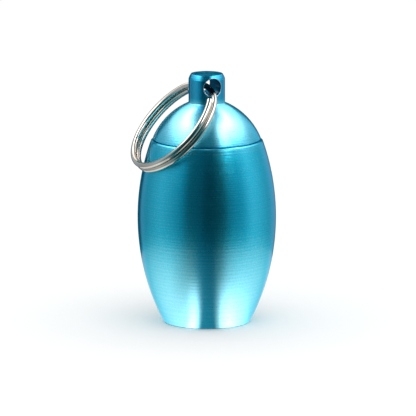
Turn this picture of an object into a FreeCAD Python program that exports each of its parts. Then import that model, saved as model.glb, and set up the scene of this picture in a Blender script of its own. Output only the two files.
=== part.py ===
import FreeCAD, Part
import math
import os
import Sketcher
from FreeCAD import Placement, Rotation, Vector

# Earplug case: a barrel-shaped turned cup, a screw cap with a drilled post, a neck seal and a split ring.
# Millimetres, +Z up, origin at the centre of the flat base.
# The eye through the post runs along Y, and the ring hangs towards -X.

doc = FreeCAD.newDocument("earplug_case")
X_AXIS = Vector(1, 0, 0)
Y_AXIS = Vector(0, 1, 0)
Z_AXIS = Vector(0, 0, 1)
MATCH = 1e-3          # how near an edge must lie to the place it is looked for at
SAMPLES = 5           # points taken along an edge to describe it
HALVINGS = 24         # steps of the search for the ring's rest angle
FULL_TURN = 360

# Driving sizes, in millimetres and degrees
SIZES = {
    # cup
    "widest_radius": 12.75,
    "widest_height": 19.5,
    "belly_arc": 42.7,
    "case_height": 33.95,
    "foot_edge": 0.2,
    "rim_edge": 0.22,
    "floor_thickness": 3.0,
    "floor_corner": 1.5,
    "foot_wall": 1.0,
    "rim_wall": 1.1,
    # screw joint and seal
    "parting_gap": 0.05,
    "seal_section": 1.2,
    "seal_gap": 0.05,
    "groove_gap": 0.1,
    "thread_pitch": 1.0,
    "thread_count": 5,
    "thread_gap": 0.04,
    "thread_step": 0.39,
    "thread_lead": 0.4,
    "thread_runout": 0.5,
    # cap
    "cap_inset": 0.22,
    "cap_edge": 0.25,
    "dome_arc": 12.24,
    "dome_drop": 4.44,
    "cap_height": 12.2,
    "spigot_wall": 0.8,
    "hollow_depth": 2.8,
    "hollow_corner": 1.5,
    "post_radius": 3.35,
    "post_foot": 0.4,
    "bevel_width": 0.45,
    "bevel_height": 0.95,
    "bevel_arc": 3.0,
    "eye_radius": 1.65,
    "eye_depth": 2.2,
    "eye_edge": 0.12,
    # ring
    "wire_diameter": 1.12,
    "turn_gap": 0.03,
    "jog_angle": 33,
    "upper_end_angle": 40,
    "lower_end_angle": 36,
    "cut_edge": 0.15,
    "eye_gap": 0.08,
    "bearing_angle": 35,
    "rest_gap": 0.1,
}

# Sizes that follow from the driving ones: outside first, then walls, fits and heights
FITS = {
    "belly_centre": "sizes.widest_radius - sizes.belly_arc",
    "base_radius": "belly_centre + sqrt(sizes.belly_arc^2 - sizes.widest_height^2)",
    "floor_radius": "belly_centre + sqrt(sizes.belly_arc^2 - (sizes.widest_height - sizes.floor_thickness)^2)",
    "rim_radius": "belly_centre + sqrt(sizes.belly_arc^2 - (sizes.case_height - sizes.widest_height)^2)",
    "bore_radius": "floor_radius - sizes.foot_wall",
    "seal_bore": "rim_radius - sizes.rim_wall",
    "nut_radius": "seal_bore - sizes.thread_step",
    "thread_radius": "nut_radius - sizes.thread_gap",
    "groove_radius": "seal_bore - sizes.seal_section - 2 * sizes.seal_gap",
    "cap_bore": "groove_radius - sizes.spigot_wall",
    "seal_radius": "seal_bore - sizes.seal_gap - sizes.seal_section / 2",
    "shoulder": "sizes.case_height + sizes.parting_gap",
    "seal_height": "shoulder - sizes.groove_gap - sizes.seal_section / 2",
    "groove_foot": "shoulder - sizes.seal_section - 2 * sizes.groove_gap",
    "nut_top": "groove_foot - sizes.thread_step",
    "spigot_end": "nut_top - sizes.thread_pitch * sizes.thread_count",
    "nut_foot": "spigot_end - sizes.thread_runout",
    "bore_top": "nut_foot - sizes.thread_lead",
    "floor_side": "sizes.floor_thickness + sizes.floor_corner",
    "floor_flat": "bore_radius - sizes.floor_corner",
    "cap_radius": "rim_radius - sizes.cap_inset",
    "dome_centre": "cap_radius - sqrt(sizes.dome_arc^2 - sizes.dome_drop^2)",
    "dome_level": "shoulder - sizes.dome_drop",
    "dome_top": "dome_level + sqrt(sizes.dome_arc^2 - (sizes.post_radius - dome_centre)^2)",
    "cap_top": "shoulder + sizes.cap_height",
    "post_face": "sizes.post_radius - sizes.bevel_width",
    "bevel_foot": "cap_top - sizes.bevel_height",
    "hollow_top": "shoulder + sizes.hollow_depth",
    "hollow_side": "hollow_top - sizes.hollow_corner",
    "hollow_flat": "cap_bore - sizes.hollow_corner",
    "eye_height": "cap_top - sizes.eye_depth",
    "wire_radius": "sizes.wire_diameter / 2",
    "ring_outside": "2 * cap_radius",
    "coil_radius": "ring_outside / 2 - wire_radius",
    "coil_step": "sizes.wire_diameter + sizes.turn_gap",
    "half_step": "coil_step / 2",
}


def fill_sheet(name, rows):
    """A sheet with one named row for each size."""
    sheet = doc.addObject("Spreadsheet::Sheet", name)
    for row, (alias, content) in enumerate(rows.items(), start=1):
        sheet.set(f"A{row}", alias)
        sheet.set(f"B{row}", content)
        sheet.setAlias(f"B{row}", alias)
    doc.recompute()
    return sheet


sizes = fill_sheet("sizes", {alias: str(number) for alias, number in SIZES.items()})
fits = fill_sheet("fits", {alias: "=" + formula for alias, formula in FITS.items()})


def ring_frame(hang, twist):
    """Where the ring sits: hung below level by one angle and cocked in the eye by the other."""
    swing = Rotation(Y_AXIS, -hang)
    cock = Rotation(X_AXIS, twist)
    eye = Vector(0, 0, fits.eye_height)
    turned = swing.multiply(cock)
    return Placement(eye - turned.multVec(X_AXIS * (fits.coil_radius + strand_drop)), turned)


def gap_to_case(hang, twist):
    """Smallest gap between the ring's turns and the outside of the cup and the dome."""
    place = ring_frame(hang, twist)
    gaps = []
    for degree in range(FULL_TURN):
        angle = math.radians(degree)
        for level in (-fits.half_step, fits.half_step):
            local = Vector(fits.coil_radius * math.cos(angle), fits.coil_radius * math.sin(angle), level)
            spot = place.multVec(local)
            radius = math.hypot(spot.x, spot.y)
            to_belly = math.hypot(radius - fits.belly_centre, spot.z - sizes.widest_height) - sizes.belly_arc
            to_dome = math.hypot(radius - fits.dome_centre, spot.z - fits.dome_level) - sizes.dome_arc
            gaps.append(to_belly if spot.z < fits.shoulder else to_dome)
    return min(gaps) - fits.wire_radius


def rest_angle(twist):
    """How far below level the ring hangs when it comes to rest a small gap from the case."""
    lifted, lowered = 0.0, 90.0
    for _ in range(HALVINGS):
        middle = (lifted + lowered) / 2
        if gap_to_case(middle, twist) > sizes.rest_gap:
            lifted = middle
        else:
            lowered = middle
    return lifted


# The strand in the eye bears on the lower side of both mouths, which sets how the whole ring is cocked
eye_play = sizes.eye_radius - fits.wire_radius - sizes.eye_gap
eye_sag = fits.coil_radius - math.sqrt(fits.coil_radius ** 2 - sizes.post_radius ** 2)
bearing = math.radians(sizes.bearing_angle)
strand_drop = eye_play * math.cos(bearing) - eye_sag
strand_slope = math.atan(eye_play * math.sin(bearing) / sizes.post_radius)
jog_slope = math.atan(fits.coil_step / (2 * math.radians(sizes.jog_angle) * fits.coil_radius))
ring_twist = math.degrees(strand_slope - jog_slope)
ring_hang = rest_angle(ring_twist)


def origin_part(body, role):
    """One of the body's own origin planes or axes, by its role."""
    return next(item for item in body.Origin.OriginFeatures if item.Role == role)


def upright_sketch(body, name, turn=None):
    """A sketch on the body's upright XZ plane, turned about Z by a sheet value where one is named."""
    sketch = body.newObject("Sketcher::SketchObject", name)
    sketch.AttachmentSupport = [(origin_part(body, "XZ_Plane"), "")]
    sketch.MapMode = "FlatFace"
    if turn:
        sketch.AttachmentOffset = Placement(Vector(0, 0, 0), Rotation(Y_AXIS, sketch.evalExpression(turn)))
        sketch.setExpression(".AttachmentOffset.Rotation.Angle", turn)
    return sketch


def hold(sketch, kind, geometry, corner, axis, formula, name):
    """Tie one corner to the sheet along one axis, or set it on the axis itself where it is zero."""
    if formula == "0":
        sketch.addConstraint(Sketcher.Constraint("PointOnObject", geometry, corner, axis))
        return
    value = float(sketch.evalExpression(formula))
    index = sketch.addConstraint(Sketcher.Constraint(kind, -1, 1, geometry, corner, value))
    sketch.renameConstraint(index, name)
    sketch.setExpression(f"Constraints.{name}", formula)


def arc_between(start, end, radius, side):
    """The short arc between two corners, with its centre left (1) or right (-1) of the way along."""
    way = end - start
    reach = math.sqrt(radius ** 2 - (way.Length / 2) ** 2)
    left = Vector(-way.y, way.x, 0).normalize()
    centre = (start + end) / 2 + left * (side * reach)
    first, last = (start, end) if side > 0 else (end, start)
    angles = [math.atan2(spot.y - centre.y, spot.x - centre.x) for spot in (first, last)]
    return Part.ArcOfCircle(Part.Circle(centre, Z_AXIS, radius), *angles)


def outline(sketch, corners):
    """A closed outline from corners (r, z), or (r, z, radius, side) where an arc ends there."""
    spots = [Vector(*(float(sketch.evalExpression(formula)) for formula in corner[:2]), 0) for corner in corners]
    ends = []
    for number, corner in enumerate(corners):
        start, end = spots[number - 1], spots[number]
        if len(corner) == 2:
            sketch.addGeometry(Part.LineSegment(start, end))
            ends.append((1, 2))
            continue
        radius = float(sketch.evalExpression(corner[2]))
        sketch.addGeometry(arc_between(start, end, radius, corner[3]))
        ends.append((1, 2) if corner[3] > 0 else (2, 1))
    for number, corner in enumerate(corners):
        following = (number + 1) % len(corners)
        here = ends[number][1]
        sketch.addConstraint(Sketcher.Constraint("Coincident", number, here, following, ends[following][0]))
        hold(sketch, "DistanceX", number, here, -2, corner[0], f"r{number}")
        hold(sketch, "DistanceY", number, here, -1, corner[1], f"z{number}")
        if len(corner) > 2:
            radius = float(sketch.evalExpression(corner[2]))
            index = sketch.addConstraint(Sketcher.Constraint("Radius", number, radius))
            sketch.renameConstraint(index, f"arc{number}")
            sketch.setExpression(f"Constraints.arc{number}", corner[2])


def circle(sketch, across, level, radius):
    """One circle, its centre and radius tied to the sheet."""
    centre = Vector(*(float(sketch.evalExpression(formula)) for formula in (across, level)), 0)
    value = float(sketch.evalExpression(radius))
    sketch.addGeometry(Part.Circle(centre, Z_AXIS, value))
    hold(sketch, "DistanceX", 0, 3, -2, across, "across")
    hold(sketch, "DistanceY", 0, 3, -1, level, "level")
    index = sketch.addConstraint(Sketcher.Constraint("Radius", 0, value))
    sketch.renameConstraint(index, "radius")
    sketch.setExpression("Constraints.radius", radius)


def turned(body, kind, name, sketch, sweep=None):
    """A revolved feature about the sketch's upright axis, a full turn unless a sweep is named."""
    feature = body.newObject(kind, name)
    feature.Profile = sketch
    feature.ReferenceAxis = (sketch, ["V_Axis"])
    feature.Angle = FULL_TURN
    if sweep:
        feature.setExpression("Angle", sweep)
    doc.recompute()
    return feature


def broken_edge(body, kind, name, base, size, wanted):
    """A chamfer or fillet on the edges of the last feature that answer the description."""
    names = [f"Edge{number}" for number, edge in enumerate(base.Shape.Edges, start=1) if wanted(edge)]
    feature = body.newObject(kind, name)
    feature.Base = (base, names)
    feature.setExpression("Radius" if kind.endswith("Fillet") else "Size", size)
    doc.recompute()
    return feature


def level_circle(radius, height):
    """Describes the level circular edge of one radius at one height."""
    def matches(edge):
        if not isinstance(edge.Curve, Part.Circle):
            return False
        off_radius = abs(edge.Curve.Radius - radius)
        off_height = abs(edge.Curve.Center.z - height)
        return max(off_radius, off_height) < MATCH
    return matches


def new_body(name):
    """An empty body that carries the piece's name."""
    body = doc.addObject("PartDesign::Body", name)
    body.Label = name
    return body


# Cup: barrel-shaped outside, straight bore, thread zone and seal seat at the mouth
case_body = new_body("case_body")
cup_side = upright_sketch(case_body, "cup_side")
outline(cup_side, [
    ("0", "0"),
    ("fits.base_radius", "0"),
    ("fits.rim_radius", "sizes.case_height", "sizes.belly_arc", 1),
    ("0", "sizes.case_height"),
])
cup_outside = turned(case_body, "PartDesign::Revolution", "cup_outside", cup_side)
cup_hollow = upright_sketch(case_body, "cup_hollow")
outline(cup_hollow, [
    ("0", "sizes.floor_thickness"),
    ("fits.floor_flat", "sizes.floor_thickness"),
    ("fits.bore_radius", "fits.floor_side", "sizes.floor_corner", 1),
    ("fits.bore_radius", "fits.bore_top"),
    ("fits.nut_radius", "fits.nut_foot"),
    ("fits.nut_radius", "fits.nut_top"),
    ("fits.seal_bore", "fits.groove_foot"),
    ("fits.seal_bore", "sizes.case_height"),
    ("0", "sizes.case_height"),
])
cup_bored = turned(case_body, "PartDesign::Groove", "cup_bored", cup_hollow)
rim_break = broken_edge(case_body, "PartDesign::Chamfer", "rim_break", cup_bored, "sizes.rim_edge",
                        level_circle(fits.rim_radius, sizes.case_height))
foot_break = broken_edge(case_body, "PartDesign::Fillet", "foot_break", rim_break, "sizes.foot_edge",
                         level_circle(fits.base_radius, 0))

# Cap: spigot with thread zone and seal groove, shoulder, dome and post, turned as one piece
screw_cap = new_body("screw_cap")
cap_side = upright_sketch(screw_cap, "cap_side")
outline(cap_side, [
    ("0", "fits.spigot_end"),
    ("fits.thread_radius", "fits.spigot_end"),
    ("fits.thread_radius", "fits.groove_foot"),
    ("fits.groove_radius", "fits.groove_foot"),
    ("fits.groove_radius", "fits.shoulder"),
    ("fits.cap_radius", "fits.shoulder"),
    ("sizes.post_radius", "fits.dome_top", "sizes.dome_arc", 1),
    ("sizes.post_radius", "fits.bevel_foot"),
    ("fits.post_face", "fits.cap_top", "sizes.bevel_arc", 1),
    ("0", "fits.cap_top"),
])
cap_outside = turned(screw_cap, "PartDesign::Revolution", "cap_outside", cap_side)
cap_hollow = upright_sketch(screw_cap, "cap_hollow")
outline(cap_hollow, [
    ("0", "fits.spigot_end"),
    ("fits.cap_bore", "fits.spigot_end"),
    ("fits.cap_bore", "fits.hollow_side"),
    ("fits.hollow_flat", "fits.hollow_top", "sizes.hollow_corner", 1),
    ("0", "fits.hollow_top"),
])
cap_bored = turned(screw_cap, "PartDesign::Groove", "cap_bored", cap_hollow)
post_fillet = broken_edge(screw_cap, "PartDesign::Fillet", "post_fillet", cap_bored, "sizes.post_foot",
                          level_circle(sizes.post_radius, fits.dome_top))
shoulder_break = broken_edge(screw_cap, "PartDesign::Chamfer", "shoulder_break", post_fillet, "sizes.cap_edge",
                             level_circle(fits.cap_radius, fits.shoulder))
thread_start = broken_edge(screw_cap, "PartDesign::Chamfer", "thread_start", shoulder_break, "sizes.thread_lead",
                           level_circle(fits.thread_radius, fits.spigot_end))

# Eye: one hole straight across the post, its rims lightly broken
eye_circle = upright_sketch(screw_cap, "eye_circle")
circle(eye_circle, "0", "fits.eye_height", "sizes.eye_radius")
eye = screw_cap.newObject("PartDesign::Pocket", "eye")
eye.Profile = eye_circle
eye.SideType = "Symmetric"
eye.Type = "ThroughAll"
doc.recompute()


def eye_rim(edge):
    """Describes the edges where the eye comes out of the post."""
    spots = edge.discretize(SAMPLES)
    on_eye = all(abs(math.hypot(p.x, p.z - fits.eye_height) - sizes.eye_radius) < MATCH for p in spots)
    depths = [p.y for p in spots]
    return on_eye and max(depths) - min(depths) < sizes.post_radius


eye_break = broken_edge(screw_cap, "PartDesign::Fillet", "eye_break", eye, "sizes.eye_edge", eye_rim)

# Seal: a rubber ring in the spigot's groove, facing the seat in the cup's mouth
neck_seal = new_body("neck_seal")
seal_circle = upright_sketch(neck_seal, "seal_circle")
circle(seal_circle, "fits.seal_radius", "fits.seal_height", "sizes.seal_section / 2")
seal_round = turned(neck_seal, "PartDesign::Revolution", "seal_round", seal_circle)

# Split ring: a lower turn, the jog that climbs one wire thickness inside the eye, and an upper turn
split_ring = new_body("split_ring")
lower_start = upright_sketch(split_ring, "lower_start", "sizes.lower_end_angle")
circle(lower_start, "fits.coil_radius", "-fits.half_step", "fits.wire_radius")
lower_turn = turned(split_ring, "PartDesign::Revolution", "lower_turn", lower_start,
                    "360 - sizes.lower_end_angle - sizes.jog_angle")
jog_start = upright_sketch(split_ring, "jog_start", "-sizes.jog_angle")
circle(jog_start, "fits.coil_radius", "-fits.half_step", "fits.wire_radius")
jog = split_ring.newObject("PartDesign::AdditiveHelix", "jog")
jog.Profile = jog_start
jog.ReferenceAxis = (jog_start, ["V_Axis"])
jog.Mode = "height-turns-angle"
jog.setExpression("Height", "fits.coil_step")
jog.setExpression("Turns", "2 * sizes.jog_angle / 360")
doc.recompute()
upper_start = upright_sketch(split_ring, "upper_start", "sizes.jog_angle")
circle(upper_start, "fits.coil_radius", "fits.half_step", "fits.wire_radius")
upper_turn = turned(split_ring, "PartDesign::Revolution", "upper_turn", upper_start,
                    "360 - sizes.upper_end_angle - sizes.jog_angle")
cut_faces = [face for face in upper_turn.Shape.Faces if isinstance(face.Surface, Part.Plane)]


def cut_rim(edge):
    """Describes the edge round each cut end of the wire."""
    return any(edge.isSame(rim) for face in cut_faces for rim in face.Edges)


cut_break = broken_edge(split_ring, "PartDesign::Chamfer", "cut_break", upper_turn, "sizes.cut_edge", cut_rim)
split_ring.Placement = ring_frame(ring_hang, ring_twist)

doc.recompute()
for item in doc.Objects:
    if "Invalid" in item.State or "Error" in item.State:
        raise RuntimeError(f"{item.Label} failed: {item.State}")

os.makedirs("parts", exist_ok=True)
for body in (case_body, screw_cap, neck_seal, split_ring):
    if body.Shape.isNull() or not body.Shape.isValid() or len(body.Shape.Solids) != 1:
        raise RuntimeError(f"{body.Label} isn't one sound solid")
    body.Shape.exportStep(f"parts/{body.Label}.step")
    print(f"{body.Label}: {body.Shape.Volume:.2f} mm3")

print(f"ring at rest: {ring_hang:.2f} degrees below level, cocked {ring_twist:.2f} degrees")
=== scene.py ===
# %% [markdown]
# # A turned metal earplug case on a split ring
# The case is a barrel-shaped cup and a domed screw cap, both turned from aluminium and dyed teal.
# A rubber seal sits under the cap, and a two-turn steel ring hangs through a hole in the cap's post.
# The engineering model is loaded first as a fixed frame, so each piece made here goes exactly where it says.

# %% Load the frame
import math

import bpy
from mathutils import Matrix, Vector


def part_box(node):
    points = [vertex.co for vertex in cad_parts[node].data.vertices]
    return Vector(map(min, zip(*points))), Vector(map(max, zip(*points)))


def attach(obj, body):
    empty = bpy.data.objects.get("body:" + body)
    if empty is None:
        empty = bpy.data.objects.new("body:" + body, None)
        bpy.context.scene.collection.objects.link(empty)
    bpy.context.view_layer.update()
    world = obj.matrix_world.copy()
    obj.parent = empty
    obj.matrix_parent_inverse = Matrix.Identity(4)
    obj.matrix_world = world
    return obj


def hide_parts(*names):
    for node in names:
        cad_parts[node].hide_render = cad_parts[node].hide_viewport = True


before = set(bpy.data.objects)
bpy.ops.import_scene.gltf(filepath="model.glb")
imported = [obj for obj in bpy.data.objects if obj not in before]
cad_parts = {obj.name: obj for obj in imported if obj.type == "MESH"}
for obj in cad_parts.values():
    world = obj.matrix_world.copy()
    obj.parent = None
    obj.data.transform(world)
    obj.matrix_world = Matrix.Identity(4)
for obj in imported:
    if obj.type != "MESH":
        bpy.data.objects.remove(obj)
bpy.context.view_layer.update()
MM = 0.001
scene = bpy.context.scene

# %% [markdown]
# ## The camera
# The case is seen from a little above, with its post's hole turned to the right of the middle.
# A long lens from almost a metre away keeps the barrel's sides nearly parallel, as in a catalogue picture.
# Lamps and cards are placed by their direction from the case, counted from the camera, so this helper comes first.

# %% Place the camera
CAMERA_TURN = -21.0        # degrees round the case, from straight in front of the hole
CAMERA_LIFT = 10.9         # degrees above level
CAMERA_DISTANCE = 0.9      # metres
SENSOR, LENS = 36.0, 423.2            # millimetres
NEAREST, FARTHEST = 0.05, 20.0        # metres between which the camera sees
CASE_MIDDLE = Vector((0, 0, 0.023))
FRAME_RIGHT = 0.223        # how far the aim lies right of the case's axis, in millimetres
FRAME_DOWN = 1.87          # how far it lies below the case's middle, in millimetres


def direction(turn, lift):
    """Unit vector from the case to a place seen at these degrees right of the camera and above level."""
    a = math.radians(CAMERA_TURN + turn)
    e = math.radians(lift)
    return Vector((math.sin(a) * math.cos(e), -math.cos(a) * math.cos(e), math.sin(e)))


def in_mm(lengths, digits=2):
    """Lengths in metres as rounded millimetres, ready to print."""
    return [round(length / MM, digits) for length in lengths]


to_camera = direction(0, CAMERA_LIFT)
facing = (-to_camera).to_track_quat("-Z", "Y")
right = facing @ Vector((1, 0, 0))
up = facing @ Vector((0, 1, 0))
lens = bpy.data.cameras.new("case_camera")
lens.sensor_width, lens.lens = SENSOR, LENS
lens.clip_start, lens.clip_end = NEAREST, FARTHEST
camera = bpy.data.objects.new("case_camera", lens)
scene.collection.objects.link(camera)
camera.location = CASE_MIDDLE + (right * FRAME_RIGHT - up * FRAME_DOWN) * MM + to_camera * CAMERA_DISTANCE
camera.rotation_mode = "QUATERNION"
camera.rotation_quaternion = facing
scene.camera = camera
print("camera at", in_mm(camera.location), "mm")

# %% [markdown]
# ## Outlines for turned pieces
# A lathe piece is one outline swept round its axis, so all the work is in drawing the outline well.
# It could be a curve with a screw modifier, but plain lists of radius and height are easier to measure.
# Real edges are never perfectly sharp: each corner gets a tiny round, which catches the light as a fine line.
# Lengths from here on are in millimetres, unless a note says metres, and making a mesh turns them into metres.

# %% Draw arcs and rounded corners
ARC_STEP = math.radians(0.8)
FEWEST_STEPS = 6           # in even the shortest arc
ROUND_STEPS = 5
MOST_CUT = 0.49            # of an edge's length, so that the rounds at its two ends never meet


def arc_centre(start, end, radius, bulge=1):
    """Centre of an arc. A bulge of 1 has it left of the way from start to end, and -1 right of it."""
    way = (end[0] - start[0], end[1] - start[1])
    chord = math.hypot(*way)
    reach = math.sqrt(radius ** 2 - chord ** 2 / 4)
    return ((start[0] + end[0]) / 2 - bulge * way[1] / chord * reach,
            (start[1] + end[1]) / 2 + bulge * way[0] / chord * reach)


def arc(start, end, radius, bulge=1):
    """Points after start along the short arc to end."""
    centre = arc_centre(start, end, radius, bulge)
    first = math.atan2(start[1] - centre[1], start[0] - centre[0])
    turn = 2 * math.asin(math.dist(start, end) / (2 * radius)) * bulge
    count = max(FEWEST_STEPS, math.ceil(abs(turn) / ARC_STEP))
    return [(centre[0] + radius * math.cos(first + turn * k / count),
             centre[1] + radius * math.sin(first + turn * k / count)) for k in range(1, count + 1)]


def rounded(points, corners):
    """The outline with small rounds in place of the named corners, given as {index: distance cut back}."""
    made = []
    for index, point in enumerate(points):
        size = corners.get(index, 0)
        if not size:
            made.append(point)
            continue
        ends = []
        for other in (points[index - 1], points[(index + 1) % len(points)]):
            way = (other[0] - point[0], other[1] - point[1])
            share = min(size / math.hypot(*way), MOST_CUT)
            ends.append((point[0] + way[0] * share, point[1] + way[1] * share))
        for k in range(ROUND_STEPS + 1):
            t = k / ROUND_STEPS
            made.append(tuple((1 - t) ** 2 * ends[0][i] + 2 * t * (1 - t) * point[i] + t ** 2 * ends[1][i]
                              for i in range(2)))
    return made


quarter = arc((1, 0), (0, 1), 1)
print("a quarter turn takes", len(quarter), "points and ends at", [round(v, 3) for v in quarter[-1]])

# %% [markdown]
# ## The screw thread
# The cap and the cup share a right-hand thread with a pitch of one millimetre.
# Cutting it is only a change of radius: the radius goes up and down once for each pitch climbed,
# and the pattern climbs one pitch for each turn. Both pieces use the same wave at slightly different radii,
# so the cap's ridges lie in the cup's grooves with a thin gap, also while it is being unscrewed.

# %% Shape the thread
PITCH = 1.0
THREAD_DEPTH = 0.27        # how far ridges and grooves stand from the middle radius
THREAD_ROWS = 16           # rows of points for each pitch


def thread_wave(angle, height):
    """Ridge (1) or groove (-1) of the thread at this place, with slightly flattened tops."""
    wave = math.cos(2 * math.pi * (height / PITCH - angle / (2 * math.pi)))
    return wave * (1.5 - 0.5 * wave * wave)


def threaded(start, end):
    """Rows of points straight up or down a threaded wall, marked so that the thread is cut there."""
    count = round(abs(end[1] - start[1]) / PITCH * THREAD_ROWS)
    return [(start[0], start[1] + (end[1] - start[1]) * k / count, "thread") for k in range(count + 1)]


print("half a turn takes the wave from", round(thread_wave(0, 0), 3), "to", round(thread_wave(math.pi, 0), 3))

# %% [markdown]
# ## Sweeping an outline
# Copies of the outline stand round the axis like the staves of a barrel, and four-sided faces join them.
# The outline starts and ends on the axis, where fans of triangles close the piece, so it has no open edge.
# The thread dies away towards its two ends, as it does where a real cutter runs out.

# %% Sweep, smooth and measure
SEGMENTS = 192


def new_object(name, points, faces):
    """An object in the scene, from points in millimetres and the faces between them."""
    mesh = bpy.data.meshes.new(name)
    mesh.from_pydata([[length * MM for length in point] for point in points], [], faces)
    mesh.validate()
    made = bpy.data.objects.new(name, mesh)
    scene.collection.objects.link(made)
    return made


def turned_piece(name, outline, thread_ends):
    """A closed lathe piece. The thread's depth is nothing at the heights called its ends."""
    points, faces, rows = [], [], []
    for radius, height, *mark in outline:
        if radius == 0:
            rows.append([len(points)])
            points.append((0, 0, height))
            continue
        room = min(THREAD_DEPTH, *(abs(height - end) for end in thread_ends)) if mark else 0
        rows.append(range(len(points), len(points) + SEGMENTS))
        for k in range(SEGMENTS):
            angle = 2 * math.pi * (k + 0.5) / SEGMENTS
            local = radius + max(-room, min(room, THREAD_DEPTH * thread_wave(angle, height)))
            points.append((local * math.cos(angle), local * math.sin(angle), height))
    for lower, upper in zip(rows, rows[1:]):
        for k in range(SEGMENTS):
            n = (k + 1) % SEGMENTS
            if len(lower) == 1:
                faces.append((lower[0], upper[n], upper[k]))
            elif len(upper) == 1:
                faces.append((lower[k], lower[n], upper[0]))
            else:
                faces.append((lower[k], lower[n], upper[n], upper[k]))
    return new_object(name, points, faces)


def smooth(piece, sharpest=40):
    """Smooth shading, except across edges that turn by more than this many degrees."""
    piece.data.shade_smooth()
    piece.data.set_sharp_from_angle(angle=math.radians(sharpest))


def measured(piece):
    """Prints how large a piece is and how many faces it has."""
    print(f"{piece.name}: {in_mm(piece.dimensions)} mm, {len(piece.data.polygons)} faces")


# %% [markdown]
# ## The cup
# The cup is a barrel turned from one bar: a flat foot, a long arc to the widest place, and a narrower mouth.
# The bore stops short of the foot and carries the thread and the seal's seat near the mouth.
# The mouth's outer edge has a small bevel, which is the bright line under the parting line.
# Points that stand for a place are (radius, height).

# %% Make the cup
FOOT = (8.0374, 0.0)
FOOT_ROUND = 0.2
FOOT_RIM = 0.4             # how far in from the foot's edge its outer ring of points lies
BELLY_ARC = 42.72
MOUTH = 33.95
MOUTH_SIDE = (10.3052, 33.743)
MOUTH_FACE = 10.0107       # radius where the mouth's flat face meets its bevel
SEAT = 9.1307
SEAT_FOOT = 32.6
SEAT_ROUND = 0.1
NUT = (8.7407, 32.21)
NUT_FOOT = (8.7407, 26.71)
NUT_LEAD = 0.2             # how far above the threaded wall the thread's end lies
BORE = 8.4332
BORE_TOP = 26.31
FLOOR_SIDE = 4.5
FLOOR_FLAT = (6.9332, 3.0)
FLOOR_CORNER = 1.5
EDGE_ROUND = 0.035

cup_corners = [(0, 0), (FOOT[0] / 2, 0), (FOOT[0] - FOOT_RIM, 0), FOOT]
foot_edge = len(cup_corners) - 1
cup_corners += arc(FOOT, MOUTH_SIDE, BELLY_ARC)
bevel_side = len(cup_corners) - 1
cup_corners += [(MOUTH_FACE, MOUTH), (SEAT, MOUTH), (SEAT, SEAT_FOOT)]
cup_corners += threaded(NUT, NUT_FOOT)
cup_corners += [(BORE, BORE_TOP), (BORE, (BORE_TOP + FLOOR_SIDE) / 2), (BORE, FLOOR_SIDE)]
cup_corners += arc((BORE, FLOOR_SIDE), FLOOR_FLAT, FLOOR_CORNER, -1)
cup_corners += [(FLOOR_FLAT[0] / 2, FLOOR_FLAT[1]), (0, FLOOR_FLAT[1])]
cup_outline = rounded(cup_corners, {foot_edge: FOOT_ROUND, bevel_side: EDGE_ROUND, bevel_side + 1: EDGE_ROUND,
                                    bevel_side + 2: SEAT_ROUND, bevel_side + 3: SEAT_ROUND})
cup = turned_piece("cup_shell", cup_outline, (NUT[1] + NUT_LEAD, NUT_FOOT[1]))
smooth(cup)
measured(cup)

# %% [markdown]
# ## The cap
# The cap is turned in one piece too: a hollow threaded spigot, a shoulder, a dome and a short post.
# Its shoulder has a small bevel underneath, so the joint shows as a dark line round the case.
# The post's top is softened by a shallow arc, and a small fillet joins the post to the dome.

# %% Make the cap
SPIGOT_END = 27.21
SPIGOT_LEAD = 0.4
SPIGOT_ROUND = 0.1
THREAD_RADIUS = 8.7007
TOP_LEAD, TIP_LEAD = 0.05, 0.2        # how far past the threaded wall the thread's two ends lie
GROOVE = 7.8307
SHOULDER = 34.0
SHOULDER_FACE = 9.7607
DOME_START = (9.92, 34.233)
DOME_ARC = 12.24
POST = 3.35
DOME_TOP = (POST, 40.8426)
POST_FILLET = 0.27
POST_ROWS = [0.5 + 0.2 * k for k in range(20)]     # rows of points above the dome, so the eye's edge stays crisp
BEVEL_FOOT = 45.25
BEVEL_ARC = 3.0
POST_FACE = 2.9
POST_ROUND = 0.07
CAP_TOP = 46.2
CAP_BORE = 7.0307
HOLLOW_SIDE = 35.3
HOLLOW_FLAT = (5.5307, 36.8)
HOLLOW_CORNER = 1.5

cap_corners = [(0, HOLLOW_FLAT[1]), (HOLLOW_FLAT[0] / 2, HOLLOW_FLAT[1]), HOLLOW_FLAT]
cap_corners += arc(HOLLOW_FLAT, (CAP_BORE, HOLLOW_SIDE), HOLLOW_CORNER, -1)
cap_corners += [(CAP_BORE, SPIGOT_END), (THREAD_RADIUS - SPIGOT_LEAD, SPIGOT_END)]
spigot_edge = len(cap_corners) - 1
cap_corners += threaded((THREAD_RADIUS, SPIGOT_END + SPIGOT_LEAD), (THREAD_RADIUS, SEAT_FOOT))
cap_corners += [(GROOVE, SEAT_FOOT), (GROOVE, SHOULDER), (SHOULDER_FACE, SHOULDER), DOME_START]
shoulder_side = len(cap_corners) - 1
cap_corners += arc(DOME_START, DOME_TOP, DOME_ARC)
dome_end = len(cap_corners) - 1
cap_corners += [(POST, DOME_TOP[1] + rise) for rise in POST_ROWS] + [(POST, BEVEL_FOOT)]
cap_corners += arc((POST, BEVEL_FOOT), (POST_FACE, CAP_TOP), BEVEL_ARC)
post_edge = len(cap_corners) - 1
cap_corners += [(POST_FACE * share, CAP_TOP) for share in (0.6, 0.3, 0)]
cap_outline = rounded(cap_corners, {spigot_edge - 1: SPIGOT_ROUND, spigot_edge: EDGE_ROUND,
                                    shoulder_side - 1: EDGE_ROUND, shoulder_side: EDGE_ROUND,
                                    dome_end: POST_FILLET, post_edge: POST_ROUND})
cap = turned_piece("cap_shell", cap_outline, (SEAT_FOOT + TOP_LEAD, SPIGOT_END + SPIGOT_LEAD - TIP_LEAD))
measured(cap)

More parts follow.
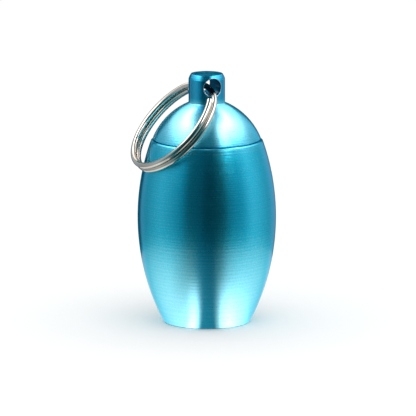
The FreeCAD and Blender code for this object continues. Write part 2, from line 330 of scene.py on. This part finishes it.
# %% [markdown]
# ## The eye through the post
# The ring hangs in a hole drilled straight across the post, with its rims lightly rounded.
# The hole is cut with a tool shaped like the drilled hole and its two flared mouths,
# because a plain cylinder would leave razor edges that catch no light.
# The tool is a row of rings of points. Each ring follows the post's round side, so the flare is even all round.

# %% Shape the drilling tool
EYE_RADIUS = 1.65
EYE_HEIGHT = 44.0
EYE_EDGE = 0.13
EYE_POINTS = 128
EYE_ROUND_STEPS = 6
TOOL_WIDER, TOOL_BEYOND = 0.02, 1.0   # how far the tool's ends stand out from the flare and the post

bevel_centre = arc_centre((POST, BEVEL_FOOT), (POST_FACE, CAP_TOP), BEVEL_ARC)


def post_radius_at(height):
    """Radius of the post at this height, with its softened top."""
    if height <= BEVEL_FOOT:
        return POST
    return bevel_centre[0] + math.sqrt(BEVEL_ARC ** 2 - (height - bevel_centre[1]) ** 2)


def eye_ring(wide, depth, side):
    """One ring of the tool, this wide and this deep under the post's surface."""
    ring = []
    for k in range(EYE_POINTS):
        angle = 2 * math.pi * k / EYE_POINTS
        x, z = wide * math.cos(angle), EYE_HEIGHT + wide * math.sin(angle)
        surface = math.sqrt(post_radius_at(z) ** 2 - x * x)
        ring.append((x, side * (surface - depth), z))
    return ring


def skin(rings, around, closed=False):
    """Faces over this many rings of points: with a lid at each end, or closed into a loop."""
    last = (rings - 1) * around
    faces = [] if closed else [tuple(range(around)), tuple(reversed(range(last, last + around)))]
    for k in range(rings if closed else rings - 1):
        a, b = k * around, (k + 1) % rings * around
        for j in range(around):
            n = (j + 1) % around
            faces.append((a + j, b + j, b + n, a + n))
    return faces


mouth_steps = []
for k in range(EYE_ROUND_STEPS + 1):
    t = math.radians(90) * k / EYE_ROUND_STEPS
    mouth_steps.append((EYE_RADIUS + EYE_EDGE * (1 - math.cos(t)), EYE_EDGE * (1 - math.sin(t))))
mouth_steps.append((EYE_RADIUS + EYE_EDGE + TOOL_WIDER, -TOOL_BEYOND))
tool_rings = [eye_ring(wide, depth, -1) for wide, depth in reversed(mouth_steps)]
tool_rings += [eye_ring(wide, depth, 1) for wide, depth in mouth_steps]
tool_points = [point for ring in tool_rings for point in ring]
tool = new_object("eye_tool", tool_points, skin(len(tool_rings), EYE_POINTS))
measured(tool)

# %% Drill the eye
cut = cap.modifiers.new("eye", "BOOLEAN")
cut.operation, cut.solver, cut.object = "DIFFERENCE", "EXACT", tool
drilled = bpy.data.meshes.new_from_object(cap.evaluated_get(bpy.context.evaluated_depsgraph_get()))
cap.modifiers.clear()
cap.data = drilled
bpy.data.objects.remove(tool)
smooth(cap)
measured(cap)

# %% [markdown]
# ## The seal
# A rubber ring lies in the groove above the cap's thread and closes the joint against the cup's seat.
# It shows only when the cap is unscrewed, as a black line between the two turned pieces.
# It is a tube: rings of points along a circle, under one skin. The key ring's wire is made by the same helper.

# %% Make the seal
SEAL_MIDDLE = (8.4807, 33.3)
SEAL_ROUND = 0.6
SEAL_POINTS = 28
AXIS = Vector((0, 0, 1))


def tube(name, stations, around, closed=False):
    """A skin over rings of points. Each station is (centre, outward, upward, radius)."""
    points = []
    for centre, outward, upward, radius in stations:
        for j in range(around):
            angle = 2 * math.pi * j / around
            points.append(centre + (outward * math.cos(angle) + upward * math.sin(angle)) * radius)
    return new_object(name, points, skin(len(stations), around, closed))


seal_stations = []
for k in range(SEGMENTS):
    angle = 2 * math.pi * (k + 0.5) / SEGMENTS
    outward = Vector((math.cos(angle), math.sin(angle), 0))
    centre = outward * SEAL_MIDDLE[0] + AXIS * SEAL_MIDDLE[1]
    seal_stations.append((centre, outward, AXIS, SEAL_ROUND))
seal = tube("seal_rubber_ring", seal_stations, SEAL_POINTS, closed=True)
smooth(seal, 180)
measured(seal)

# %% [markdown]
# ## The split ring
# The ring is one steel wire wound twice round. In the eye it climbs from the lower turn to the upper one,
# which is why only one strand passes through the hole, and why a cut end shows beside it.
# It is a tube along the wire's line: flat turns joined by a straight climb with softened ends.
# The ring bears on the lower rims of the eye and leans on the case, so it hangs at a fixed tilt.

# %% Follow the wire
COIL = 9.4507              # radius of the wire's middle line
HALF_STEP = 0.575          # how far each turn lies from the ring's middle plane
CLIMB_HALF = 33.0          # degrees each side of the eye over which the wire climbs
CLIMB_SOFTEN = 6.0         # degrees over which the climb starts and stops
RING_HANG, RING_COCK = 48.11, 3.78    # degrees the ring tilts down and leans over
STRAND_DROP = 0.2137       # how far the strand lies below the middle of the eye, along the ring
NEIGHBOUR = 0.1            # degrees to the places before and after that give the wire's direction

tilt = Matrix.Rotation(math.radians(-RING_HANG), 3, "Y") @ Matrix.Rotation(math.radians(RING_COCK), 3, "X")
ring_middle = AXIS * EYE_HEIGHT - tilt @ Vector((COIL + STRAND_DROP, 0, 0))


def climb(degrees):
    """Height of the wire's middle line above the ring's middle plane, at this many degrees past the eye."""
    slope = HALF_STEP / CLIMB_HALF
    beyond = abs(degrees) - (CLIMB_HALF - CLIMB_SOFTEN)
    if beyond <= 0:
        height = slope * abs(degrees)
    elif beyond < 2 * CLIMB_SOFTEN:
        height = slope * (abs(degrees) - beyond ** 2 / (4 * CLIMB_SOFTEN))
    else:
        height = HALF_STEP
    return math.copysign(height, degrees)


def wire_place(degrees):
    """The wire's middle line at this angle, which passes the eye at 360 degrees."""
    a = math.radians(degrees)
    return ring_middle + tilt @ Vector((COIL * math.cos(a), COIL * math.sin(a), climb(degrees - 360)))


def wire_station(degrees, radius):
    """One ring of the wire's skin."""
    along = (wire_place(degrees + NEIGHBOUR) - wire_place(degrees - NEIGHBOUR)).normalized()
    a = math.radians(degrees)
    outward = tilt @ Vector((math.cos(a), math.sin(a), 0))
    upward = outward.cross(along).normalized()
    outward = along.cross(upward).normalized()
    return wire_place(degrees), outward, upward, radius


print("ring middle at", [round(v, 3) for v in ring_middle], "mm")

# %% Wind the ring
WIRE = 0.5596              # radius
WIRE_POINTS = 32
LOWER_END, UPPER_END = 36.0, 680.0    # degrees along the wire where it is cut
CUT_BEVEL = 0.15
STATION_STEP = 1.5         # degrees

steps = round((UPPER_END - LOWER_END) / STATION_STEP)
bevel_turn = math.degrees(CUT_BEVEL / COIL)
wire_stations = [wire_station(LOWER_END, WIRE - CUT_BEVEL)]
for k in range(steps + 1):
    degrees = LOWER_END + bevel_turn + (UPPER_END - LOWER_END - 2 * bevel_turn) * k / steps
    wire_stations.append(wire_station(degrees, WIRE))
wire_stations.append(wire_station(UPPER_END, WIRE - CUT_BEVEL))
ring = tube("split_ring_wire", wire_stations, WIRE_POINTS)
smooth(ring)
measured(ring)

# %% [markdown]
# ## Writing finishes as sums
# A finish is a network of nodes, but most of its maths is easier to read as a formula.
# The small class below stands for one output of a node: adding or multiplying it adds a Math node.
# The reflected forms, such as __radd__, let a plain number stand first.

# %% Wrap a socket


class Value:
    """One output of a finish's nodes, so that shader maths can be written as plain sums."""

    def __init__(self, finish, socket):
        self.finish, self.socket = finish, socket

    def maths(self, operation, first, second):
        """The outcome of a Math node on two values or numbers."""
        return self.finish.node("ShaderNodeMath", {"operation": operation}, {0: first, 1: second})

    def other(self, name):
        """Another output of the same node."""
        return Value(self.finish, self.socket.node.outputs[name])

    def __add__(self, other):
        return self.maths("ADD", self, other)

    def __radd__(self, other):
        return self.maths("ADD", other, self)

    def __sub__(self, other):
        return self.maths("SUBTRACT", self, other)

    def __rsub__(self, other):
        return self.maths("SUBTRACT", other, self)

    def __mul__(self, other):
        return self.maths("MULTIPLY", self, other)

    def __rmul__(self, other):
        return self.maths("MULTIPLY", other, self)

    def __pow__(self, other):
        return self.maths("POWER", self, other)

    def __rpow__(self, other):
        return self.maths("POWER", other, self)


# %% [markdown]
# ## One method for every other node
# Nodes that aren't sums come from one method, which takes the node's type, its settings and its inputs.
# The short methods after it are for the nodes that every finish here needs: noises, blends and shares.

# %% Gather a finish


class Finish:
    """A procedural material built from nodes."""

    def __init__(self, name):
        self.material = bpy.data.materials.new(name)
        self.material.use_nodes = True
        self.tree = self.material.node_tree
        self.tree.nodes.clear()

    def node(self, kind, settings=None, inputs=None, output=0):
        """Adds a node: its settings first, then its inputs as values or links. Returns one of its outputs."""
        made = self.tree.nodes.new(kind)
        for key, value in (settings or {}).items():
            if key == "stops":
                ramp = made.color_ramp
                while len(ramp.elements) < len(value):
                    ramp.elements.new(0.5)
                for element, (place, colour) in zip(ramp.elements, value):
                    element.position, element.color = place, (*colour, 1)
            else:
                setattr(made, key, value)
        for key, value in (inputs or {}).items():
            if isinstance(value, Value):
                self.tree.links.new(value.socket, made.inputs[key])
            else:
                made.inputs[key].default_value = value
        return Value(self, made.outputs[output])

    def noise(self, kind, place, scale, detail=2.0):
        """A noise between 0 and 1, along a line (1D) or through space (3D)."""
        socket = "W" if kind == "1D" else "Vector"
        return self.node("ShaderNodeTexNoise", {"noise_dimensions": kind},
                         {socket: place, "Scale": scale, "Detail": detail, "Roughness": 0.5})

    def share(self, place, stops):
        """A share between 0 and 1 that follows a place from 0 to 1 through these stops."""
        return self.node("ShaderNodeValToRGB", {"stops": [(at, (v, v, v)) for at, v in stops]}, {0: place})

    def blend(self, share, first, second):
        """A colour between two colours."""
        return self.node("ShaderNodeMix", {"data_type": "RGBA", "clamp_factor": True},
                         {0: share, 6: first, 7: second}, 2)

    def finished(self, shader):
        """The material, with this shader on its surface."""
        out = self.tree.nodes.new("ShaderNodeOutputMaterial")
        self.tree.links.new(shader.socket, out.inputs["Surface"])
        print(f"{self.material.name}: {len(self.tree.nodes)} nodes")
        return self.material


# %% [markdown]
# ## Dyed aluminium
# The shell is turned, anodised and dyed. A clear oxide layer carries the dye, so the metal under it shines
# through in colour, while the oxide's own surface adds a faint colourless gloss on top.
# The colour is painted paler towards the foot and on the dome up to the post's foot, as a painted highlight, and it
# is darker on the post, so it follows the height.
# The bore of the eye is painted darker still, as painted shade, and a thin pale line is painted round the eye's rim.

# %% Choose the dye's colours
DYE = (0.016, 0.530, 0.735, 1)
# painted highlight: a paler colour where the lower belly and the dome catch bright light
PAINTED_HIGHLIGHT_COLOUR = (0.270, 0.750, 0.900, 1)
DYE_TILT = (0.040, 0.500, 0.680, 1)   # what the metal reflects at a grazing angle
DYE_POST = (0.012, 0.330, 0.530, 1)
# painted shade inside the eye's bore
PAINTED_BORE_SHADE = (0.004, 0.130, 0.240, 1)
RIM_LINE_COLOUR = (0.620, 0.720, 0.740, 1)       # a thin pale line painted round the eye's rim
# where the painted highlight lies, as a share of the height
PAINTED_HIGHLIGHT_SHARE = [(0.0, 1.0), (0.09, 0.95), (0.2, 0.72), (0.40, 0.0), (0.70, 0.0), (0.74, 0.35), (0.82, 1.0),
              (0.885, 0.9), (0.905, 0.0), (1.0, 0.0)]
POST_SHARE = [(0.0, 0.0), (0.885, 0.0), (0.91, 1.0), (1.0, 1.0)]
RIM_REACH = 4.0            # how far from the eye's axis the next two lists run, in millimetres
# where the pale line round the eye's rim is painted
RIM_LINE_SHARE = [(at / RIM_REACH, share) for at, share in (
    (0, 0), (1.655, 0), (1.68, 1), (1.76, 1), (1.80, 0), (RIM_REACH, 0))]
# where the painted shade inside the bore lies
BORE_SHADE_SHARE = [(at / RIM_REACH, share) for at, share in ((0, 1), (1.652, 1), (1.67, 0), (RIM_REACH, 0))]
print("the dye is palest at", [at for at, share in PAINTED_HIGHLIGHT_SHARE if share == 1], "of the way up")

# %% [markdown]
# ## Turning marks
# The lathe leaves even feed marks round the axis. They spread each highlight along the axis, as stretched streaks,
# so the metal's gloss is set wider along the axis than across it, and a bump a few micrometres high draws the marks.
# They follow one coordinate, height less radius, which also gives circles on the flat faces.
# A picture of brushed metal would be simpler, but it would show seams and stretch on the dome.

# %% Mix the dyed aluminium
FEED = 2.1                 # feed marks for each millimetre
FEED_DRIFT = 2.0           # how many marks the feed runs ahead or behind
FINE, GRAIN = 2.2, 1.5     # how high the fine scratches and the grain stand against the feed marks
MARK_HEIGHT = 2.7e-6       # metres
# how much of the painted highlight colour is used at most
PAINTED_HIGHLIGHT_MOST = 0.9
SPECKLE, STRIPE = 0.7, 0.07           # how much the grain and the feed marks vary the dye
SPECKLE_MIDDLE = 0.33      # taken off again, so that the speckle is dark as often as it is pale
RIM_LINE_STRENGTH = 0.6               # how strongly the pale line round the eye's rim is painted
GLOSS, GLOSS_FINE, GLOSS_GRAIN = 0.23, 0.08, 0.06


def dyed_aluminium_painted_light():
    """The shell's finish."""
    finish = Finish("dyed_aluminium_painted_light")
    place = finish.node("ShaderNodeTexCoord", output="Object")
    parts = finish.node("ShaderNodeSeparateXYZ", inputs={0: place})
    x, y, z = parts, parts.other("Y"), parts.other("Z")

    along = (z - (x * x + y * y) ** 0.5) * (1 / MM)
    fine = finish.noise("1D", along, 5.0)
    drift = finish.noise("1D", along, 0.7, 1.0)
    broken = finish.noise("3D", place, 260.0)
    grain = finish.noise("3D", place, 4500.0, 1.0)
    turns = along * FEED + drift * FEED_DRIFT
    feed = finish.node("ShaderNodeMath", {"operation": "SINE"}, {0: turns * (2 * math.pi)})
    marks = feed * (1.0 + broken) + fine * FINE + grain * GRAIN
    bump = finish.node("ShaderNodeBump", inputs={"Strength": 1.0, "Distance": MARK_HEIGHT, "Height": marks})

    level = z * (1 / (CAP_TOP * MM))
    above_eye = z - EYE_HEIGHT * MM
    from_eye = (x * x + above_eye * above_eye) ** 0.5 * (1 / (RIM_REACH * MM))
    # Painted highlight: paler near the foot and on the dome up to the post's foot, varied by the grain and the feed
    # marks.
    highlight_and_grain = finish.share(level, PAINTED_HIGHLIGHT_SHARE) * PAINTED_HIGHLIGHT_MOST + grain * SPECKLE + feed * STRIPE - SPECKLE_MIDDLE
    dye_and_painted_light = finish.blend(highlight_and_grain, DYE, PAINTED_HIGHLIGHT_COLOUR)
    dye_and_painted_light = finish.blend(finish.share(level, POST_SHARE), dye_and_painted_light, DYE_POST)
    # A thin pale line painted round the eye's rim.
    dye_and_painted_light = finish.blend(finish.share(from_eye, RIM_LINE_SHARE) * RIM_LINE_STRENGTH, dye_and_painted_light, RIM_LINE_COLOUR)
    # Painted shade inside the eye's bore.
    dye_and_painted_light = finish.blend(finish.share(from_eye, BORE_SHADE_SHARE), dye_and_painted_light, PAINTED_BORE_SHADE)
    return finish.finished(finish.node("ShaderNodeBsdfPrincipled", inputs={
        "Base Color": dye_and_painted_light, "Metallic": 1.0, "Roughness": GLOSS + fine * GLOSS_FINE + grain * GLOSS_GRAIN,
        "Normal": bump, "Specular Tint": DYE_TILT, "Anisotropic": 0.7, "Anisotropic Rotation": 0.25,
        "Coat Weight": 0.4, "Coat Roughness": 0.14, "Coat IOR": 1.5}))


shell_finish = dyed_aluminium_painted_light()

# %% [markdown]
# ## Seal rubber
# Plain black rubber with a faint bloom and a very slight grain.

# %% Mix the rubber
RUBBER, RUBBER_BLOOM = (0.012, 0.012, 0.013, 1), (0.03, 0.03, 0.031, 1)
RUBBER_GRAIN = 1e-5        # metres


def seal_rubber():
    """The seal's finish."""
    finish = Finish("black_rubber")
    place = finish.node("ShaderNodeTexCoord", output="Object")
    grain = finish.noise("3D", place, 4000.0)
    bloom = finish.noise("3D", place, 400.0, 3.0)
    bump = finish.node("ShaderNodeBump", inputs={"Strength": 0.3, "Distance": RUBBER_GRAIN, "Height": grain})
    return finish.finished(finish.node("ShaderNodeBsdfPrincipled", inputs={
        "Base Color": finish.blend(bloom, RUBBER, RUBBER_BLOOM), "Roughness": 0.42 + bloom * 0.15,
        "Normal": bump}))


rubber_finish = seal_rubber()

# %% [markdown]
# ## Ring steel
# Nickelled spring wire is almost a mirror, with a warm cast and faint rubbed patches where the turns slide.

# %% Mix the ring's steel
STEEL, STEEL_RUBBED = (0.61, 0.59, 0.535, 1), (0.53, 0.51, 0.455, 1)
DRAWING_MARKS = 6e-7       # metres


def ring_steel():
    """The ring's finish."""
    finish = Finish("polished_steel")
    place = finish.node("ShaderNodeTexCoord", output="Object")
    rubbed = finish.noise("3D", place, 700.0, 3.0)
    drawn = finish.noise("3D", place, 5000.0)
    bump = finish.node("ShaderNodeBump", inputs={"Strength": 0.2, "Distance": DRAWING_MARKS, "Height": drawn})
    return finish.finished(finish.node("ShaderNodeBsdfPrincipled", inputs={
        "Base Color": finish.blend(rubbed, STEEL, STEEL_RUBBED), "Metallic": 1.0,
        "Roughness": 0.09 + rubbed * 0.09, "Normal": bump}))


steel_finish = ring_steel()

# %% [markdown]
# ## Putting the pieces on the frame
# Each piece rides on the body that carries it, so the cap's turn and the ring's swing take their pieces along.
# Each one stands for the plain solid of the same shape, which is then hidden.

# %% Ride, replace and finish
for piece, body, node, slot, finish in (
        (cup, "case", "case_body", "anodised_shell", shell_finish),
        (cap, "cap", "screw_cap", "anodised_shell", shell_finish),
        (seal, "seal", "neck_seal", "seal_rubber", rubber_finish),
        (ring, "ring", "split_ring", "ring_steel", steel_finish)):
    piece.data.materials.clear()
    piece.data.materials.append(finish)
    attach(piece, body)
    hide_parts(node)
    low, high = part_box(node)
    print(piece.name, "stands for", node, "from", in_mm(low), "to", in_mm(high), "mm")

# %% [markdown]
# ## The table
# A plain white table fills the whole view, so the picture has a white ground and keeps the case's soft shadow.
# It has no gloss of its own, because a shiny table would mirror the cards that come further down.

# %% Lay the table
TABLE_REACH = 4000
TABLE_WHITE, TABLE_PALE = (0.955, 0.955, 0.955, 1), (0.97, 0.97, 0.97, 1)

table = new_object("table", [(-TABLE_REACH, -TABLE_REACH, 0), (TABLE_REACH, -TABLE_REACH, 0),
                             (TABLE_REACH, TABLE_REACH, 0), (-TABLE_REACH, TABLE_REACH, 0)], [(0, 1, 2, 3)])
white = Finish("white_table")
mottle = white.noise("3D", white.node("ShaderNodeTexCoord", output="Object"), 3.0)
table.data.materials.append(white.finished(white.node("ShaderNodeBsdfPrincipled", inputs={
    "Base Color": white.blend(mottle, TABLE_WHITE, TABLE_PALE), "Roughness": 1.0, "Specular IOR Level": 0.0})))

# %% [markdown]
# ## Light
# The room is evenly white, which lights the table at a plain level from all sides.
# One large soft lamp overhead adds a faint shadow, so that the case stands on the table and doesn't float.
# The metal's own look comes from the tent of cards further down, so the lamp is kept out of its reflections.

# %% Hang the lamp
LAMP_TURN, LAMP_LIFT = 20, 72         # degrees right of the camera and above level
LAMP_DISTANCE = 0.7                   # metres
LAMP_WIDTH = 0.4                      # metres
LAMP_RADIANCE = 1.2
ROOM_WHITE = (1, 1, 1, 1)

light = bpy.data.lights.new("overhead", "AREA")
light.shape, light.size, light.size_y = "RECTANGLE", LAMP_WIDTH, LAMP_WIDTH
light.energy = LAMP_RADIANCE * math.pi * LAMP_WIDTH * LAMP_WIDTH
overhead = bpy.data.objects.new("overhead", light)
scene.collection.objects.link(overhead)
to_lamp = direction(LAMP_TURN, LAMP_LIFT)
overhead.location = CASE_MIDDLE + to_lamp * LAMP_DISTANCE
overhead.rotation_mode = "QUATERNION"
overhead.rotation_quaternion = to_lamp.to_track_quat("Z", "Y")
overhead.visible_glossy = False
room = bpy.data.worlds.new("room")
room.use_nodes = True
room.node_tree.nodes["Background"].inputs["Color"].default_value = ROOM_WHITE
room.node_tree.nodes["Background"].inputs["Strength"].default_value = 1.0
scene.world = room
print("lamp of", round(light.energy, 2), "W at", in_mm(overhead.location), "mm")

# %% [markdown]
# ## The tent
# Turned metal shows its surroundings, so the surroundings are its drawing.
# It is photographed inside a small tent of cards, with the camera looking in through a slot.
# Each card goes all round the case, along a path of distance and height, and glows by a list of brightnesses.
# Dim parts are cool, like the room behind the camera, and the brightest strips are warm.
# The cards are seen only in reflections, so they hide nothing from the camera and cast no shadow.

# %% Make a card
CARD_COLUMNS = 72
DIM, PEAK = 0.35, 2.2      # below the first brightness a card is cool, and above the second it is warm
SLOT_TINT = (0.15, 0.96, 1.20)        # the slot shows the dim, cool room behind the camera
PEAK_TINT = (1.25, 1.0, 0.97)         # the brightest strips are warm, which whitens the middle of a streak


def tinted(brightness, tint):
    """The colour of a card at this brightness."""
    chosen = SLOT_TINT if brightness < DIM else PEAK_TINT if brightness > PEAK else tint
    return [brightness * part for part in chosen]


def card(name, path, levels, tint=(1, 1, 1), gain=(1.0, 1.0)):
    """A card all round the case, along a path of (distance, height).
    Levels are (degrees right of the camera, brightness at the path's start, and at its end if that differs).
    Gain multiplies them at the path's start and end."""
    points, faces, places = [], [], []
    for k in range(CARD_COLUMNS + 1):
        way = direction(-180 + 360 * k / CARD_COLUMNS, 0)
        for j, (distance, height) in enumerate(path):
            points.append((way.x * distance, way.y * distance, height))
            places.append((k / CARD_COLUMNS, j / (len(path) - 1)))
            if k and j:
                a, b = (k - 1) * len(path) + j, k * len(path) + j
                faces.append((a - 1, b - 1, b, a))
    made = new_object(name, points, faces)
    layer = made.data.uv_layers.new(name="across")
    for loop in made.data.loops:
        layer.data[loop.index].uv = places[loop.vertex_index]

    paper = Finish(name)
    parts = paper.node("ShaderNodeSeparateXYZ", inputs={0: paper.node("ShaderNodeTexCoord", output="UV")})
    shades = []
    for end in (0, -1):
        stops = [((turn + 180) / 360, tinted(values[end], tint)) for turn, *values in levels]
        shades.append(paper.node("ShaderNodeValToRGB", {"stops": stops}, {0: parts}))
    shade = paper.blend(parts.other("Y"), *shades)
    strength = gain[0] + parts.other("Y") * (gain[1] - gain[0])
    shade = paper.node("ShaderNodeVectorMath", {"operation": "SCALE"}, {0: shade, "Scale": strength})
    material = paper.finished(paper.node("ShaderNodeEmission", inputs={"Color": shade}))
    material.cycles.emission_sampling = "NONE"
    made.data.materials.append(material)
    made.visible_camera = made.visible_shadow = made.visible_diffuse = False


# %% [markdown]
# ## The tent's wall
# A grey wall gives the barrel its middle tone, with the dark slot as the band down its front.
# Behind the case it has a second opening, so that the metal isn't flat when it is seen from there.

# %% Stand the wall
WALL_FOOT, WALL_HEAD = (52, 0.5), (52, 61)
WALL_TINT = (0.88, 0.96, 1.04)
WALL_GAIN = (0.9, 1.25)
WALL_LEVELS = [(-180, 0.13), (-134, 0.13), (-129, 0.60), (-110, 0.42), (-75, 0.62), (-40, 0.27), (-29, 0.08),
               (-10, 0.09), (-3, 0.04), (26, 0.04), (38, 0.22), (54, 0.33), (74, 0.78), (115, 0.52), (129, 0.72),
               (145, 0.72), (153, 0.16), (180, 0.13)]
card("tent_wall", [WALL_FOOT, WALL_HEAD], WALL_LEVELS, WALL_TINT, WALL_GAIN)

# %% [markdown]
# ## The crown and the roof
# A bright crown whitens both sides of the dome.
# The dim hole in its roof lets the dome's dark band run up to the post.

# %% Hang the crown and the roof
ROOF_EDGE, ROOF_HOLE, ROOF_TOP = (36.5, 98), (29, 105), (1, 114)
CROWN_PATH = [WALL_HEAD, (48, 86), (42.25, 92), ROOF_EDGE]
CROWN_TINT = (1.06, 1.0, 0.99)
CROWN_LEVELS = [(-180, 0.4, 0.5), (-165, 0.8, 1.0), (-153, 1.6, 2.6), (-140, 1.3, 5.0), (-122, 1.0, 5.0),
                (-103, 1.0, 5.2), (-82, 1.3, 5.4), (-66, 2.2, 4.6), (-54, 2.8, 2.6), (-44, 1.6, 0.8),
                (-32, 0.45, 0.25), (-20, 0.2, 0.2), (18, 0.2, 0.2), (26, 0.45, 0.25), (33, 2.3, 0.8),
                (41, 5.8, 2.4), (50, 2.9, 5.0), (58, 2.1, 5.6), (80, 1.8, 5.5), (108, 1.5, 5.2), (125, 1.1, 4.5),
                (138, 1.3, 2.6), (148, 1.8, 1.2), (156, 2.4, 0.5), (165, 0.8, 0.4), (180, 0.4, 0.5)]
ROOF_FADE = 0.9            # how bright the roof starts, against the crown's upper edge
HOLE_LEVEL = 0.3
roof_levels = [(turn, values[-1] * ROOF_FADE, HOLE_LEVEL) for turn, *values in CROWN_LEVELS]
card("tent_crown", CROWN_PATH, CROWN_LEVELS, CROWN_TINT)
card("tent_roof", [ROOF_EDGE, ROOF_HOLE], roof_levels, CROWN_TINT)
card("tent_top", [ROOF_HOLE, ROOF_TOP], [(-180, HOLE_LEVEL), (180, HOLE_LEVEL)])

# %% [markdown]
# ## The sheets underneath
# Bright sheets on the ground and close round the foot whiten the lower belly.
# Two strips beside the slot are the brightest, and draw the two streaks near the foot.

# %% Spread the sheets
SHEET_TINT = (1.08, 1.0, 0.96)
GROUND_PATH = [(24, 0.4), WALL_FOOT]
GROUND_GAIN = (1.0, 0.9)
GROUND_LEVELS = [(-180, 0.7), (-150, 0.8), (-142, 1.25), (-128, 1.2), (-120, 1.0), (-60, 1.2), (-40, 0.78),
                 (-24, 0.45), (-12, 0.25), (10, 0.16), (22, 0.4), (32, 0.9), (50, 1.25), (120, 1.12), (128, 1.35),
                 (142, 1.35), (150, 0.8), (180, 0.7)]
FOOT_PATH = [(8.12, 0.05), (24, 0.35)]
FOOT_LEVELS = [(-180, 0.9, 0.7), (-150, 1.0, 0.8), (-142, 1.3, 1.25), (-125, 1.15, 1.1), (-60, 1.35, 1.2),
               (-44, 1.5, 0.85), (-31, 1.8, 0.65), (-24, 3.0, 0.5), (-17, 3.4, 0.38), (-12, 1.55, 0.27),
               (-8, 0.32, 0.24), (10, 0.27, 0.16), (15, 0.8, 0.27), (22, 2.6, 0.45), (33, 3.3, 0.95),
               (47, 2.4, 1.2), (62, 2.1, 1.25), (80, 1.4, 1.2), (125, 1.15, 1.15), (142, 1.3, 1.35),
               (150, 1.0, 0.8), (180, 0.9, 0.7)]
card("ground_sheet", GROUND_PATH, GROUND_LEVELS, SHEET_TINT, GROUND_GAIN)
card("foot_sheet", FOOT_PATH, FOOT_LEVELS, SHEET_TINT)

# %% [markdown]
# ## Last settings
# Plain display settings.

# %% Finish
scene.view_settings.view_transform = "Standard"
